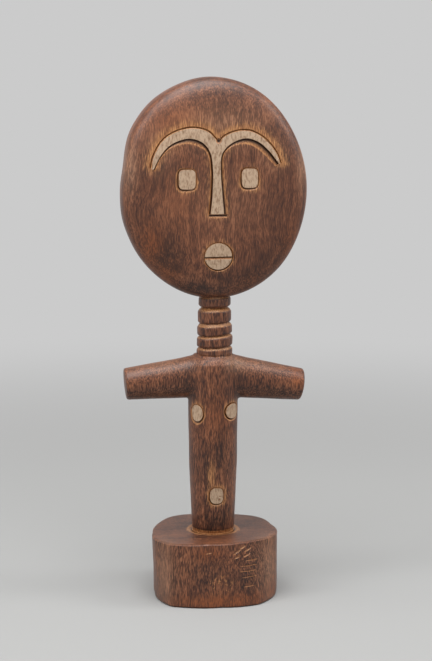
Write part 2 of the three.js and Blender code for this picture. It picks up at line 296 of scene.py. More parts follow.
face = {
    # places across and up from the middle of the head; the third number is the slope's width
    "underLeftBrow": [
        (-42.0, 13.6, 0.9), (-37.6, 22.5, 1.1), (-30.5, 30.1, 1.9), (-18.7, 34.0, 3.4),
        (-9.5, 31.1, 3.3), (-4.9, 25.0, 2.0), (-3.1, 14.3, 1.8), (-3.4, -3.2, 1.8), (-4.6, -15.6, 1.8),
    ],
    "underRightBrow": [
        (40.9, 17.3, 3.0), (34.2, 25.7, 3.8), (26.6, 31.9, 4.0), (18.5, 33.9, 3.6),
        (9.0, 30.4, 1.9), (3.3, 24.2, 1.2), (2.3, 14.3, 1.6), (3.2, -1.2, 2.3), (4.5, -15.6, 2.7),
    ],
    "overLeftBrow": [
        (-43.9, 15.0), (-42.7, 21.5), (-36.5, 32.8), (-27.7, 38.8), (-16.4, 41.4), (-5.9, 38.9), (0.9, 32.0),
    ],
    "overRightBrow": [
        (0.9, 32.0), (4.2, 35.6), (13.2, 39.2), (22.1, 39.1), (31.1, 34.4), (39.3, 25.2), (42.7, 17.3),
    ],
    "browDepth": 1.5,
    "browSteps": 70,
    "lineDepth": 0.9,
    "lineHalfWidth": 0.7,
    "lineSteps": 46,
    "noseFoot": [(-5.6, -15.8), (6.4, -15.8)],
    "noseFootWidth": 2.2,
    # an outline is cut widest and deepest towards its heavy side, given in degrees
    "leftEye": {"at": (-20.0, 7.4), "half": (5.8, 6.7), "squareness": 4.2, "heavy": 215, "width": (0.5, 2.1)},
    "rightEye": {"at": (21.5, 7.9), "half": (5.6, 6.6), "squareness": 3.8, "heavy": 228, "width": (0.5, 1.7)},
    "mouth": {"at": (0.7, -43.6), "half": (9.3, 9.1), "squareness": 2, "heavy": 300, "width": (0.5, 1.1)},
    "ringDepth": (0.6, 1.25),
    "ringWall": 0.22,
    "mouthSlit": [(-8.7, -44.0), (10.1, -43.8)],
    "notch": {"at": (0.9, 32.4), "radius": 1.9, "depth": 1.7},
}


def ringCut(name, place, shape, at, count=48):
    middle = np.array(at)
    outline = oval(at, shape["half"], shape["squareness"], count)
    turn = np.arctan2(*(outline - middle).T[::-1])
    weight = (1 + np.cos(turn - math.radians(shape["heavy"]))) / 2
    light, heavy = shape["width"]
    shallow, deep = face["ringDepth"]
    path = [(u, v, face["ringWall"], light + (heavy - light) * w) for (u, v), w in zip(outline, weight)]
    return wedge(name, place, path, shallow + (deep - shallow) * weight, closed=True)


def pit(name, place, at, radius, depth):
    spread = 1 + body["cutClearance"] / depth
    path = oval(at, (radius * spread, radius * spread), 2, 12)
    points = [place(u, v, body["cutClearance"]) for u, v in path] + [place(at[0], at[1], -depth)]
    faces = [tuple(range(12))] + [(i, 12, (i + 1) % 12) for i in range(12)]
    return markKnife(meshObject(name, points, faces))


def faceCutters():
    wall = body["wall"]
    line = face["lineHalfWidth"]
    cutters = []
    for name, left, right in (("underLeftBrow", wall, None), ("underRightBrow", None, wall)):
        path = smoothStations(widths(face[name], left, right), face["browSteps"])
        cutters.append(wedge(name, onFace, path, face["browDepth"]))
    for name in ("overLeftBrow", "overRightBrow"):
        path = smoothStations(widths(face[name], line, line), face["lineSteps"])
        cutters.append(wedge(name, onFace, path, face["lineDepth"]))
    foot = smoothStations(widths(face["noseFoot"], wall, face["noseFootWidth"]), 6)
    cutters.append(wedge("noseFoot", onFace, foot, face["browDepth"]))
    for name in ("leftEye", "rightEye", "mouth"):
        cutters.append(ringCut(name, onFace, face[name], face[name]["at"]))
    notch = face["notch"]
    cutters.append(pit("notch", onFace, notch["at"], notch["radius"], notch["depth"]))
    slit = smoothStations(widths(face["mouthSlit"], 0.15, 1.6), 12)
    cutters.append(wedge("mouthSlit", onFace, slit, 1.1))
    return cutters



# Neck: five rings over V grooves. Each groove is deepest just under the ring above it.

neck = {
    # from the shoulders up: bottom, top, radius, radius in the groove above, worn edges below and above
    "rings": [
        (164.5, 168.6, 12.1, 10.4, 0.4, 0.8),
        (170.4, 176.6, 12.0, 10.0, 0.5, 0.9),
        (178.4, 184.4, 11.7, 9.8, 0.5, 0.9),
        (186.6, 195.2, 11.2, 8.3, 0.6, 1.6),
        (197.0, 203.0, 10.8, 9.9, 1.2, 0.6),
    ],
    "undercut": 0.4,
    "tilt": {"height": 179, "slope": 0.07, "spread": 14},
    "segments": 84,
    "spacing": 0.46,
    "swell": 0.25,
    "inHead": 209,
}


def neckProfile():
    first = neck["rings"][0]
    outline = [(0.01, first[0] - 6), (first[2] - 1.4, first[0] - 6)]
    for i, (bottom, top, radius, groove, below, above) in enumerate(neck["rings"]):
        nextBottom = neck["rings"][i + 1][0] if i + 1 < len(neck["rings"]) else top + 1.4
        outline += [(radius - below, bottom), (radius, bottom + below)]
        outline += [(radius, top - above), (radius - above * 0.6, top)]
        outline.append((groove, nextBottom - neck["undercut"]))
    outline += [(neck["rings"][-1][3], neck["inHead"]), (0.01, neck["inHead"])]
    outline = np.array(outline, float)
    length = np.concatenate([[0], np.cumsum(np.linalg.norm(np.diff(outline, axis=0), axis=1))])
    even = np.linspace(0, length[-1], int(length[-1] / neck["spacing"]))
    fine = np.stack([np.interp(even, length, outline[:, k]) for k in (0, 1)], 1)
    fine[2:-2] = (fine[1:-3] + 2 * fine[2:-2] + fine[3:-1]) / 4
    return fine


def neckObject():
    profile = neckProfile()
    angle = np.linspace(0, 2 * math.pi, neck["segments"], endpoint=False)
    radius, angles = np.meshgrid(profile[:, 0], angle, indexing="ij")
    height = np.broadcast_to(profile[:, 1:2], radius.shape)
    around = np.stack([np.cos(angles) * 11, np.sin(angles) * 11, height], -1)
    swell = neck["swell"] * waver(around.reshape(-1, 3), 14, 2).reshape(radius.shape)
    radius = radius + swell * (radius > 5)
    tilt = neck["tilt"]
    x = radius * np.cos(angles)
    near = np.exp(-(((height - tilt["height"]) / tilt["spread"]) ** 2))
    points = np.stack([body["neckX"] + x, body["y"] + radius * np.sin(angles), height + tilt["slope"] * near * x], -1)
    rows, count = radius.shape
    faces = []
    for i in range(rows - 1):
        for j in range(count):
            k = (j + 1) % count
            faces.append((i * count + j, i * count + k, (i + 1) * count + k, (i + 1) * count + j))
    faces += [tuple(range(count)), tuple((rows - 1) * count + j for j in range(count))]
    return meshObject("neck", points.reshape(-1, 3), faces)


# Trunk and arms: round cones grown into each other, meshed finely and drawn onto the true skin

trunk = {
    # height, radius
    "profile": [
        (40.0, 13.6), (42.9, 13.6), (45.2, 14.4), (57, 14.9), (70, 15.5), (90, 16.3),
        (122, 16.7), (154, 16.9), (158.6, 16.2), (162.0, 14.4), (163.8, 12.2),
    ],
    "bottom": 40.8,
    "top": 164.4,
    "swell": 0.22,
    "voxel": 0.92,
    "blendAbove": 3,  # how softly trunk and arms run into each other over the shoulder
    "blendBelow": 2,  # and in the armpit
    "armpit": 141,
}
arms = [
    {"shoulder": (-8, 149.5), "end": (-60.0, 145.2), "radii": (15.4, 12.4, 10.7), "bulge": 0.4},
    {"shoulder": (8, 149.5), "end": (60.1, 142.0), "radii": (15.3, 12.7, 10.7), "bulge": 1.8},
]
armEdge = 0.7
armHalfThickness = 10.8


def trunkRadius(height):
    stations = np.array(trunk["profile"], float)
    return np.interp(height, stations[:, 0], stations[:, 1])


def trunkSkin(points):
    swell = waver(points, 30, 3)
    return trunkRadius(points[:, 2]) + trunk["swell"] * swell


def smoothMin(a, b, blend):
    near = np.maximum(blend - np.abs(a - b), 0) / blend
    return np.minimum(a, b) - near ** 2 * blend / 4


def armField(points, arm):
    start = np.array([arm["shoulder"][0], body["y"], arm["shoulder"][1]])
    end = np.array([arm["end"][0], body["y"], arm["end"][1]])
    length = np.linalg.norm(end - start)
    along = (end - start) / length
    away = points - start
    part = away @ along
    wide, middle, narrow = arm["radii"]
    stations = (0, 0.25 * length, 0.55 * length, length)
    radius = np.interp(part, stations, (wide, middle + (wide - middle) * 0.45, middle, narrow))
    away -= np.maximum(part, 0)[:, None] * along
    away[:, 1] *= np.maximum(radius / armHalfThickness, 1)
    out = np.linalg.norm(away, axis=1)
    radius += trunk["swell"] * waver(points, 26, 4)
    cap = length + arm["bulge"] * (1 - np.minimum(out / narrow, 1) ** 2)
    return -smoothMin(radius - out, cap - part, 2 * armEdge)


def bodyField(points):
    out = np.hypot(points[:, 0] - body["trunkX"], points[:, 1] - body["y"])
    field = out - trunkSkin(points)
    field = np.maximum(field, np.maximum(points[:, 2] - trunk["top"], trunk["bottom"] - points[:, 2]))
    share = np.clip((points[:, 2] - trunk["armpit"]) / 10, 0, 1)
    blend = trunk["blendBelow"] + (trunk["blendAbove"] - trunk["blendBelow"]) * share ** 2
    for arm in arms:
        field = smoothMin(field, armField(points, arm), blend)
    return field


def turnedObject(name, profile, start, along, segments=64):
    turn = Vector((0, 0, 1)).rotation_difference(Vector(along))
    angles = np.linspace(0, 2 * math.pi, segments, endpoint=False)
    points = []
    for radius, height in profile:
        for angle in angles:
            points.append(Vector(start) + turn @ Vector((radius * math.cos(angle), radius * math.sin(angle), height)))
    faces = []
    for i in range(len(profile) - 1):
        for j in range(segments):
            k = (j + 1) % segments
            faces.append((i * segments + j, i * segments + k, (i + 1) * segments + k, (i + 1) * segments + j))
    faces += [tuple(range(segments)), tuple((len(profile) - 1) * segments + j for j in range(segments))]
    return meshObject(name, points, faces)


def trunkObject():
    heights = np.linspace(trunk["bottom"], trunk["top"], 60)
    whole = turnedObject("trunk", [(float(trunkRadius(z)), z) for z in heights], (body["trunkX"], body["y"], 0), (0, 0, 1))
    limbs = []
    for arm in arms:
        start = Vector((arm["shoulder"][0], body["y"], arm["shoulder"][1]))
        along = Vector((arm["end"][0], body["y"], arm["end"][1])) - start
        wide, middle, narrow = arm["radii"]
        profile = [(wide, 0), (middle, along.length * 0.55), (narrow, along.length), (narrow * 0.6, along.length + arm["bulge"])]
        limbs.append(turnedObject("arm", profile, start, along.normalized()))
    joinOrCut(whole, limbs, "UNION")
    remesh = whole.modifiers.new("remesh", "REMESH")
    remesh.mode = "VOXEL"
    remesh.voxel_size = trunk["voxel"]
    applyModifiers(whole)
    points = pointsOf(whole)
    for step in range(6):
        value = bodyField(points)
        slope = np.stack([
            (bodyField(points + shift) - bodyField(points - shift)) / 0.4
            for shift in np.eye(3) * 0.2
        ], 1)
        size = np.maximum((slope ** 2).sum(1), 0.3)
        points = points - np.clip(value / size, -1, 1)[:, None] * slope
    setPoints(whole, points)
    return whole


def onTrunk(u, v, lift):
    angle = u / float(trunkRadius(v))
    direction = np.array([math.sin(angle), -math.cos(angle), 0])
    centre = np.array([body["trunkX"], body["y"], v])
    radius = float(trunkSkin((centre + direction * float(trunkRadius(v)))[None])[0]) + lift
    return Vector(centre + direction * radius)


marks = {
    # degrees round the trunk from the front towards +X, height, half sizes of the cut
    "leftBreast": {
        "turn": -48.6, "height": 126.1, "half": (5.1, 5.9), "squareness": 2.1, "heavy": 262, "width": (0.6, 1.9),
    },
    "rightBreast": {
        "turn": 45.5, "height": 127.1, "half": (6.5, 5.3), "squareness": 2.1, "heavy": 215, "width": (0.6, 1.6),
    },
    "navel": {
        "turn": 1.8, "height": 69.4, "half": (4.9, 5.8), "squareness": 2.6, "heavy": 250, "width": (0.4, 1.2),
    },
}
navelPits = [(2.2, -0.2), (1.9, -2.2)]  # across and up from its middle


def markCentre(mark):
    return math.radians(mark["turn"]) * float(trunkRadius(mark["height"])), mark["height"]


def trunkCutters():
    cutters = [ringCut(name, onTrunk, mark, markCentre(mark), 44) for name, mark in marks.items()]
    across, up = markCentre(marks["navel"])
    for u, v in navelPits:
        cutters.append(pit("navelPit", onTrunk, (across + u, up + v), 0.5, 0.9))
    return cutters


# Foot block: a drum hewn with a few broad facets

block = {
    "height": 42.9,
    "cells": 84,
    "topEdge": 0.8,
    "bottomEdge": 1.8,
    "swell": 0.3,
    # corners of the top and of the underside: x, y, corner radius
    "top": [
        (-43.5, -21.5, 3), (-33.5, -35.5, 6), (-16, -41, 39), (21.5, -34, 3), (40, -20.5, 2),
        (41.5, 17.5, 41), (34.5, 32, 27), (4, 44.8, 60), (-26, 41, 24), (-42, 12, 60),
    ],
    "underside": [
        (-40.5, -23, 5), (-34.5, -36.5, 7), (-12.5, -44.5, 52), (25.5, -40.5, 5), (39.5, -22, 6),
        (40.5, 17, 39), (34, 31, 26), (4, 44, 60), (-26, 40.2, 24), (-42.5, 11, 57),
    ],
    "footCut": {"radius": 14.4, "width": 3.0, "depth": 1.0},
    # gouge strokes on the front, each from one end to the other: across and up; then width and depth
    "gouges": [
        ((7.6, 35.6), (13.4, 38.6)), ((12.2, 38.9), (16.4, 40.3)), ((15.4, 36.7), (20.3, 38.6)),
        ((14.6, 33.3), (19.6, 35.0)), ((8.6, 32.8), (11.8, 34.2)), ((-11.5, 36.6), (-6.0, 37.3)),
    ],
    "gougeWidth": 0.85,
    "gougeDepth": 0.9,
    # long flat chisel lines, the same way
    "chiselLines": [
        ((12.0, 27.2), (24.6, 27.0)), ((11.5, 23.8), (24.0, 23.4)), ((13.0, 19.6), (24.8, 19.8)),
        ((14.0, 13.4), (24.4, 13.6)), ((15.5, 30.6), (25.0, 30.4)),
    ],
    "chiselWidth": 0.5,
    "chiselDepth": 0.75,
}


def roundedOutline(corners, steps=10):
    points = []
    for i, (x, y, radius) in enumerate(corners):
        corner = Vector((x, y))
        before = Vector(corners[i - 1][:2]) - corner
        after = Vector(corners[(i + 1) % len(corners)][:2]) - corner
        reach = 0.49 * min(before.length, after.length)
        before.normalize()
        after.normalize()
        half = math.acos(before.dot(after)) / 2
        cut = min(radius / math.tan(half), reach)
        arcRadius = cut * math.tan(half)
        centre = corner + (before + after).normalized() * arcRadius / math.sin(half)
        first = corner + before * cut - centre
        last = corner + after * cut - centre
        start = math.atan2(first.y, first.x)
        sweep = (math.atan2(last.y, last.x) - start + 3 * math.pi) % (2 * math.pi) - math.pi
        for j in range(steps + 1):
            angle = start + sweep * j / steps
            points.append((centre.x + arcRadius * math.cos(angle), centre.y + arcRadius * math.sin(angle)))
    return np.array(points)


def polarRadius(corners, angle):
    outline = roundedOutline(corners)
    turns = np.arctan2(outline[:, 1], outline[:, 0])
    order = np.argsort(turns)
    return np.interp(angle, turns[order], np.hypot(outline[:, 0], outline[:, 1])[order], period=2 * math.pi)


def blockPoints(angle, reach, side):
    height = block["height"]
    edge = block["topEdge"] if side > 0 else block["bottomEdge"]
    mean = 41.0
    turn = np.linspace(0, math.pi / 2, 12)
    out = np.concatenate([[0], mean - edge + edge * np.sin(turn), [mean]])
    down = np.concatenate([[0], edge - edge * np.cos(turn), [height / 2]])
    length = np.concatenate([[0], np.cumsum(np.hypot(np.diff(out), np.diff(down)))])
    share = np.interp(reach * length[-1], length, out) / mean
    drop = np.interp(reach * length[-1], length, down)
    up = height - drop if side > 0 else drop
    top = polarRadius(block["top"], angle)
    under = polarRadius(block["underside"], angle)
    radius = share * (under + (top - under) * up / height)
    points = np.stack([radius * np.cos(angle), radius * np.sin(angle), up], 1)
    swell = block["swell"] * waver(points, 34, 5)
    flat = np.clip((share - 0.9) / 0.1, 0, 1)
    points[:, 0] += swell * flat * np.cos(angle) - 0.3 * flat * np.cos(angle)
    points[:, 1] += swell * flat * np.sin(angle) - 0.3 * flat * np.sin(angle)
    return points


def onBlock(u, v, lift):
    return Vector((u, v, block["height"] + lift))


def onBlockFront(u, v, lift):
    share = v / block["height"]
    y = -40.0
    for step in range(8):
        angle = math.atan2(y, u)
        under = float(polarRadius(block["underside"], angle))
        radius = under + (float(polarRadius(block["top"], angle)) - under) * share
        y = -math.sqrt(max(radius ** 2 - u ** 2, 1))
    return Vector((u, y - lift, v))


def stroke(name, ends, width, depth):
    share = np.linspace(0, 1, 7)
    path = [
        (ends[0][0] + (ends[1][0] - ends[0][0]) * t, ends[0][1] + (ends[1][1] - ends[0][1]) * t, width, width)
        for t in share
    ]
    return wedge(name, onBlockFront, path, depth * (0.35 + 0.65 * np.sin(share * math.pi) ** 0.6))


def blockObject():
    whole = pillow("block", block["cells"], blockPoints)
    cut = block["footCut"]
    around = oval((body["trunkX"], body["y"]), (cut["radius"], cut["radius"]), 2, 72)
    path = widths(around, body["wall"], cut["width"])
    cutters = [wedge("footCut", onBlock, path, cut["depth"], closed=True)]
    for ends in block["gouges"]:
        cutters.append(stroke("gouge", ends, block["gougeWidth"], block["gougeDepth"]))
    for ends in block["chiselLines"]:
        cutters.append(stroke("chiselLine", ends, block["chiselWidth"], block["chiselDepth"]))
    return joinOrCut(whole, cutters, "DIFFERENCE")


# Where pigment, bare wood, wear, stain and painted shade and highlights lie, measured over the finished skin in
# millimetres

paint = {
    "inset": 0.15,  # the pigment stops a little inside the cut outlines
    "farAway": -20.0,
}

wear = {
    # name: how far the rubbed ring reaches, how strong above, how strong below
    "brow": (5.2, 1.0, 0.6),
    "leftEye": (3.4, 0.35, 0.85),
    "rightEye": (3.4, 0.45, 0.85),
    "mouth": (3.6, 0.6, 0.5),
    "leftBreast": (3.6, 0.7, 0.5),
    "rightBreast": (3.2, 0.85, 0.2),
    "navel": (3.4, 0.9, 0.8),
    # the worn streak left of the middle of the trunk: turn in degrees, height, half width, half height
    "streak": (-11, 79, 3.6, 17, 0.75),
    "footBand": 45.4,
}

# Soft spots over the skin: middle of the spot, its reach across, through and up, its strength
spots = {
    # dark patches, almost black. Under the arms and in the crease of the left shoulder they are painted shade over
    # real stain;
    # the others darken the lower face, the top and lower left rim of the head, the lower trunk and the front and top
    # of the block
    "stainAndShade": [
        ((-36, -14, 231), (15, 16, 22), 0.75), ((-14, -14, 211), (22, 16, 11), 0.7),
        ((26, -14, 214), (22, 16, 12), 0.55), ((-57, 0, 262), (7, 20, 34), 0.3),
        ((0, -10, 348), (46, 24, 9), 0.45), ((40, -14, 235), (16, 16, 16), 0.25),
        ((-36, -10, 137), (30, 12, 6), 0.8), ((38, -10, 136), (30, 12, 6), 0.7),
        ((-19, -10, 146), (5, 12, 11), 0.6), ((0, -16, 98), (16, 16, 22), 0.35),
        ((2, -13, 53), (13, 14, 8), 0.8), ((-14, -40, 27), (18, 10, 14), 0.6),
        ((20, -36, 22), (11, 12, 24), 0.75), ((0, -42, 12), (26, 10, 14), 0.3),
        ((0, 0, 44), (60, 60, 2.5), 0.85),
    ],
    # rubbed through to a red brown
    "ember": [
        ((-43, -12, 240), (8, 12, 15), 0.8), ((-34, -12, 222), (9, 12, 9), 0.6),
        ((51, -12, 240), (8, 12, 12), 0.5), ((30, -12, 213), (14, 12, 6), 0.5),
        ((-30, -14, 322), (22, 14, 14), 0.45), ((0, -44, 4), (36, 14, 5), 0.9),
        ((39, -26, 6), (9, 12, 7), 0.7), ((-9, -42, 37), (9, 8, 5), 0.8),
        ((56, -8, 149), (4, 12, 6), 0.8), ((0, -16, 125), (14, 10, 16), 0.4),
        ((-24, -14, 268), (14, 10, 22), 0.3),
    ],
    # small light flecks where the skin of the stain broke up
    "fleck": [
        ((1, -40, 16), (13, 10, 9), 1.0), ((7, -38, 30), (6, 8, 8), 0.5), ((19, -12, 63), (5, 16, 8), 0.5),
        ((8, -16, 64), (4, 8, 5), 0.6), ((-2, -16, 138), (12, 8, 8), 0.5),
    ],
    # pale grey-brown patches: painted highlight and sheen on the forehead and face, the temples and upper rims of the
    # head, the right shoulder and the tops of the arms; rubbed wear on the side facets of the block
    "pale": [
        ((0, -18, 318), (34, 12, 16), 0.55), ((-38, -16, 305), (12, 12, 18), 0.45),
        ((38, -16, 300), (12, 12, 14), 0.3), ((-57, -8, 292), (6, 14, 16), 0.7),
        ((58, -8, 290), (5, 14, 18), 0.6), ((0, -18, 272), (40, 12, 26), 0.18),
        ((-40, -4, 160), (26, 14, 5), 0.35), ((15, -10, 160), (9, 10, 6), 0.8),
        ((34, -4, 158), (20, 14, 5), 0.3), ((-37, -28, 20), (7, 14, 30), 0.5),
        ((33, -27, 24), (9, 12, 24), 0.55),
    ],
}


def polygonDistance(points, polygon):
    nearest = np.full(len(points), 1e9)
    inside = np.zeros(len(points), bool)
    for p, q in zip(polygon, np.roll(polygon, -1, axis=0)):
        edge = q - p
        length = max(edge @ edge, 1e-12)
        share = np.clip(((points - p) @ edge) / length, 0, 1)
        nearest = np.minimum(nearest, ((points - p - share[:, None] * edge) ** 2).sum(1))
        crosses = (p[1] > points[:, 1]) != (q[1] > points[:, 1])
        rise = edge[1] if edge[1] else 1e-12
        inside ^= crosses & (points[:, 0] < p[0] + (points[:, 1] - p[1]) * edge[0] / rise)
    return np.where(inside, 1, -1) * np.sqrt(nearest)


def paintOutline(shape, at):
    half = [length - paint["inset"] for length in shape["half"]]
    return oval(at, half, shape["squareness"], 60)


def browOutline():
    sides = [
        smoothStations(face["overLeftBrow"], 40), smoothStations(face["overRightBrow"], 40),
        smoothStations(face["underRightBrow"], 60), smoothStations(face["underLeftBrow"], 60)[::-1],
    ]
    return np.vstack(sides)[:, :2]


# Two maps of the skin: how deep inside the pigment a point lies, and how much it is rubbed

def markMaps(flat, outlines):
    inPaint = np.full(len(flat), paint["farAway"])
    rubbed = np.zeros(len(flat))
    for name, outline in outlines.items():
        distance = polygonDistance(flat, outline)
        inPaint = np.maximum(inPaint, distance)
        reach, above, below = wear[name]
        middle = outline[:, 1].mean() if name != "brow" else browMiddle(flat[:, 0])
        side = np.clip((flat[:, 1] - middle) / 4 + 0.5, 0, 1)
        strength = below + (above - below) * side
        rubbed = np.maximum(rubbed, strength * np.exp(-(np.maximum(-distance, 0) / reach) ** 2))
    return inPaint, rubbed


def browMiddle(across):
    return np.interp(np.abs(across), (0, 3, 18, 32, 43), (-30, 24, 36, 31, 15))


def skinMaps(points):
    inPaint = np.full(len(points), paint["farAway"])
    rubbed = np.zeros(len(points))
    x, y, z = points.T
    onHead = (z > 203) & (y < body["y"] - 5)
    flat = np.stack([x, z - head["centreUp"]], 1)[onHead]
    outlines = {"brow": browOutline()}
    for name in ("leftEye", "rightEye", "mouth"):
        outlines[name] = paintOutline(face[name], face[name]["at"])
    inPaint[onHead], rubbed[onHead] = markMaps(flat, outlines)

    turn = np.arctan2(x - body["trunkX"], body["y"] - y)
    onTorso = (z > block["height"] - 2) & (z < 150) & (np.hypot(x, y - body["y"]) < 20) & (np.abs(turn) < 2)
    flat = np.stack([turn * trunkRadius(z), z], 1)[onTorso]
    outlines = {}
    for name, mark in marks.items():
        outlines[name] = paintOutline(mark, markCentre(mark))
    inPaint[onTorso], rubbed[onTorso] = markMaps(flat, outlines)

    turnAt, height, halfWidth, halfHeight, strength = wear["streak"]
    across = (turn - math.radians(turnAt)) * 15.5 / halfWidth
    streak = strength * np.exp(-(across ** 2) - ((z - height) / halfHeight) ** 4) * (np.abs(turn) < 1.5)
    rubbed = np.maximum(rubbed, streak * (z > 45) * (z < 120))
    foot = (z < wear["footBand"]) & (z > block["height"] - 1.5)
    foot &= np.hypot(x - body["trunkX"], y - body["y"]) < 18.5
    rubbed = np.maximum(rubbed, foot * 0.9)
    return inPaint, rubbed


# Lighter rubbed wood on the neck's grooves and chamfers, kept to slopes that face up: partly wear, partly painted
# light where the overhead lamp falls on them.
def neckWearAndLitSlopes(points, normals):
    x, y, z = points.T
    tilt = neck["tilt"]
    height = z - tilt["slope"] * np.exp(-(((z - tilt["height"]) / tilt["spread"]) ** 2)) * (x - body["neckX"])
    out = np.hypot(x - body["neckX"], y - body["y"])
    rings = neck["rings"]
    heights = [h for ring in rings for h in ring[:2]]
    radii = [ring[2] for ring in rings for h in ring[:2]]
    sunk = np.interp(height, heights, radii) - out
    onNeck = (z > rings[0][0] - 1) & (z < rings[-1][1] + 2.5) & (out < 13)
    facingUpToLight = np.clip(normals[:, 2] * 3, 0, 1)
    return onNeck * np.clip(sunk / 0.6, 0, 1) * facingUpToLight


def blobs(points, places):
    total = np.zeros(len(points))
    for place, reach, strength in places:
        away = (points - np.array(place)) / np.array(reach)
        total = np.maximum(total, strength * np.exp(-((away ** 2).sum(1))))
    return total


def cutDepth(points):
    x, y, z = points.T
    depth = np.zeros(len(points))
    onHead = (z > 203) & (y < body["y"] - 5)
    depth[onHead] = (y[onHead] - body["y"]) + faceDepth(x[onHead], z[onHead] - head["centreUp"])
    out = np.hypot(x - body["trunkX"], y - body["y"])
    onTorso = (z > 55) & (z < 136) & (out < 18.5)
    depth[onTorso] = (trunkSkin(points) - out)[onTorso]
    onBlock = (z < block["height"]) & (out < 19)
    depth[onBlock] = (block["height"] - z)[onBlock]
    return np.clip(depth, 0, 2)


def storeMap(mesh, name, values, domain="POINT"):
    layer = mesh.attributes.new(name, "FLOAT", domain)
    layer.data.foreach_set("value", np.asarray(values, np.float32))


def addMaps(obj):
    mesh = obj.data
    points = pointsOf(obj)
    normals = np.empty(len(points) * 3)
    mesh.vertices.foreach_get("normal", normals)
    inPaint, rubbed = skinMaps(points)
    # the neck's up-facing slopes join the wear map: wear and painted light together
    rubbed = np.maximum(rubbed, neckWearAndLitSlopes(points, normals.reshape(-1, 3)))
    storeMap(mesh, "paint", inPaint)
    storeMap(mesh, "wear", rubbed)
    for name, places in spots.items():
        storeMap(mesh, name, blobs(points, places))
    storeMap(mesh, "openGrain", np.clip((212 - points[:, 2]) / 8, 0, 1))
    storeMap(mesh, "cutDepth", cutDepth(points))
    knife = np.array([polygon.material_index for polygon in mesh.polygons], float)
    storeMap(mesh, "knife", np.minimum(knife, 1), "FACE")
    mesh.polygons.foreach_set("material_index", np.zeros(len(mesh.polygons), np.int32))


# The whole doll in one skin

def dollObject():
    whole = pillow("doll", head["cells"], headPoints)
    joinOrCut(whole, faceCutters(), "DIFFERENCE")
    print("head carved,", len(whole.data.polygons), "faces")
    torso = trunkObject()
    joinOrCut(torso, trunkCutters(), "DIFFERENCE")
    print("trunk and arms carved,", len(torso.data.polygons), "faces")
    joinOrCut(whole, [neckObject(), torso, blockObject()], "UNION")
    addMaps(whole)
    setPoints(whole, pointsOf(whole) * mm)
    for polygon in whole.data.polygons:
        polygon.use_smooth = True
    whole.data.set_sharp_from_angle(angle=math.radians(38))
    return whole


# Material: a coarse-grained hardwood, stained dark and waxed. The eye sees fine upright pore streaks,
# contour-like growth layers on the rounded rims, a satin gloss, and tan wood where tools went through.
# Its colour also carries painted shade and painted highlights, laid in by the patch maps and the shading of the cuts.

def linear(code):
    parts = [int(code[i:i + 2], 16) / 255 for i in (0, 2, 4)]
    return [c / 12.92 if c <= 0.04045 else ((c + 0.055) / 1.055) ** 2.4 for c in parts] + [1]


def add(tree, kind, inputs=None, out=0, **settings):
    node = tree.nodes.new(kind)
    for name, value in settings.items():
        setattr(node, name, value)
    for name, value in (inputs or {}).items():
        if isinstance(value, bpy.types.NodeSocket):
            tree.links.new(value, node.inputs[name])
        else:
            node.inputs[name].default_value = value
    return node.outputs[out] if node.outputs else node


finish = {
    # noise fields: size in mm across, through and along the grain, detail, roughness
    "fields": {
        "pores": ((0.52, 0.52, 4.6), 2.5, 0.6),  # real pores are finer; drawn as coarse as they need to show
        "streaks": ((2.2, 2.2, 40), 2, 0.5),
        "layers": ((26, 1.5, 70), 2, 0.55),
        "clouds": ((24, 24, 34), 3, 0.55),
        "flecks": ((1.6, 1.6, 2.2), 2, 0.6),
        "grit": ((1.2, 1.2, 3.4), 3, 0.6),
    },
    "warp": 7.0,  # mm that the growth layers wander
    "dark": "2C130A",
    "middle": "643822",
    "light": "9C6444",
    # almost black tone of the stain patches: real stain, with painted shade under the arms and in the left shoulder
    # crease
    "deep": "150803",
    "ember": "88481F",
    # grey-brown of the pale patches: painted highlight and sheen, and rubbed wear on the block's facets
    "pale": "AF8568",
    "bareLight": "C08A58",
    "bareDark": "6E3B1A",
    "cutShadow": "321808",
    "cream": "BBA086",
    "creamWorn": "8E6F55",
    "creamDirt": "5B4536",
}


def grainFields(tree, place):
    fields = {}
    for name, (size, detail, rough) in finish["fields"].items():
        stretched = add(tree, "ShaderNodeMapping", {"Vector": place, "Scale": [1 / length for length in size]})
        fields[name] = add(tree, "ShaderNodeTexNoise", {
            "Vector": stretched, "Scale": 1, "Detail": detail, "Roughness": rough,
        })
    return fields


def skinMap(tree, name):
    return add(tree, "ShaderNodeAttribute", out="Fac", attribute_name=name)


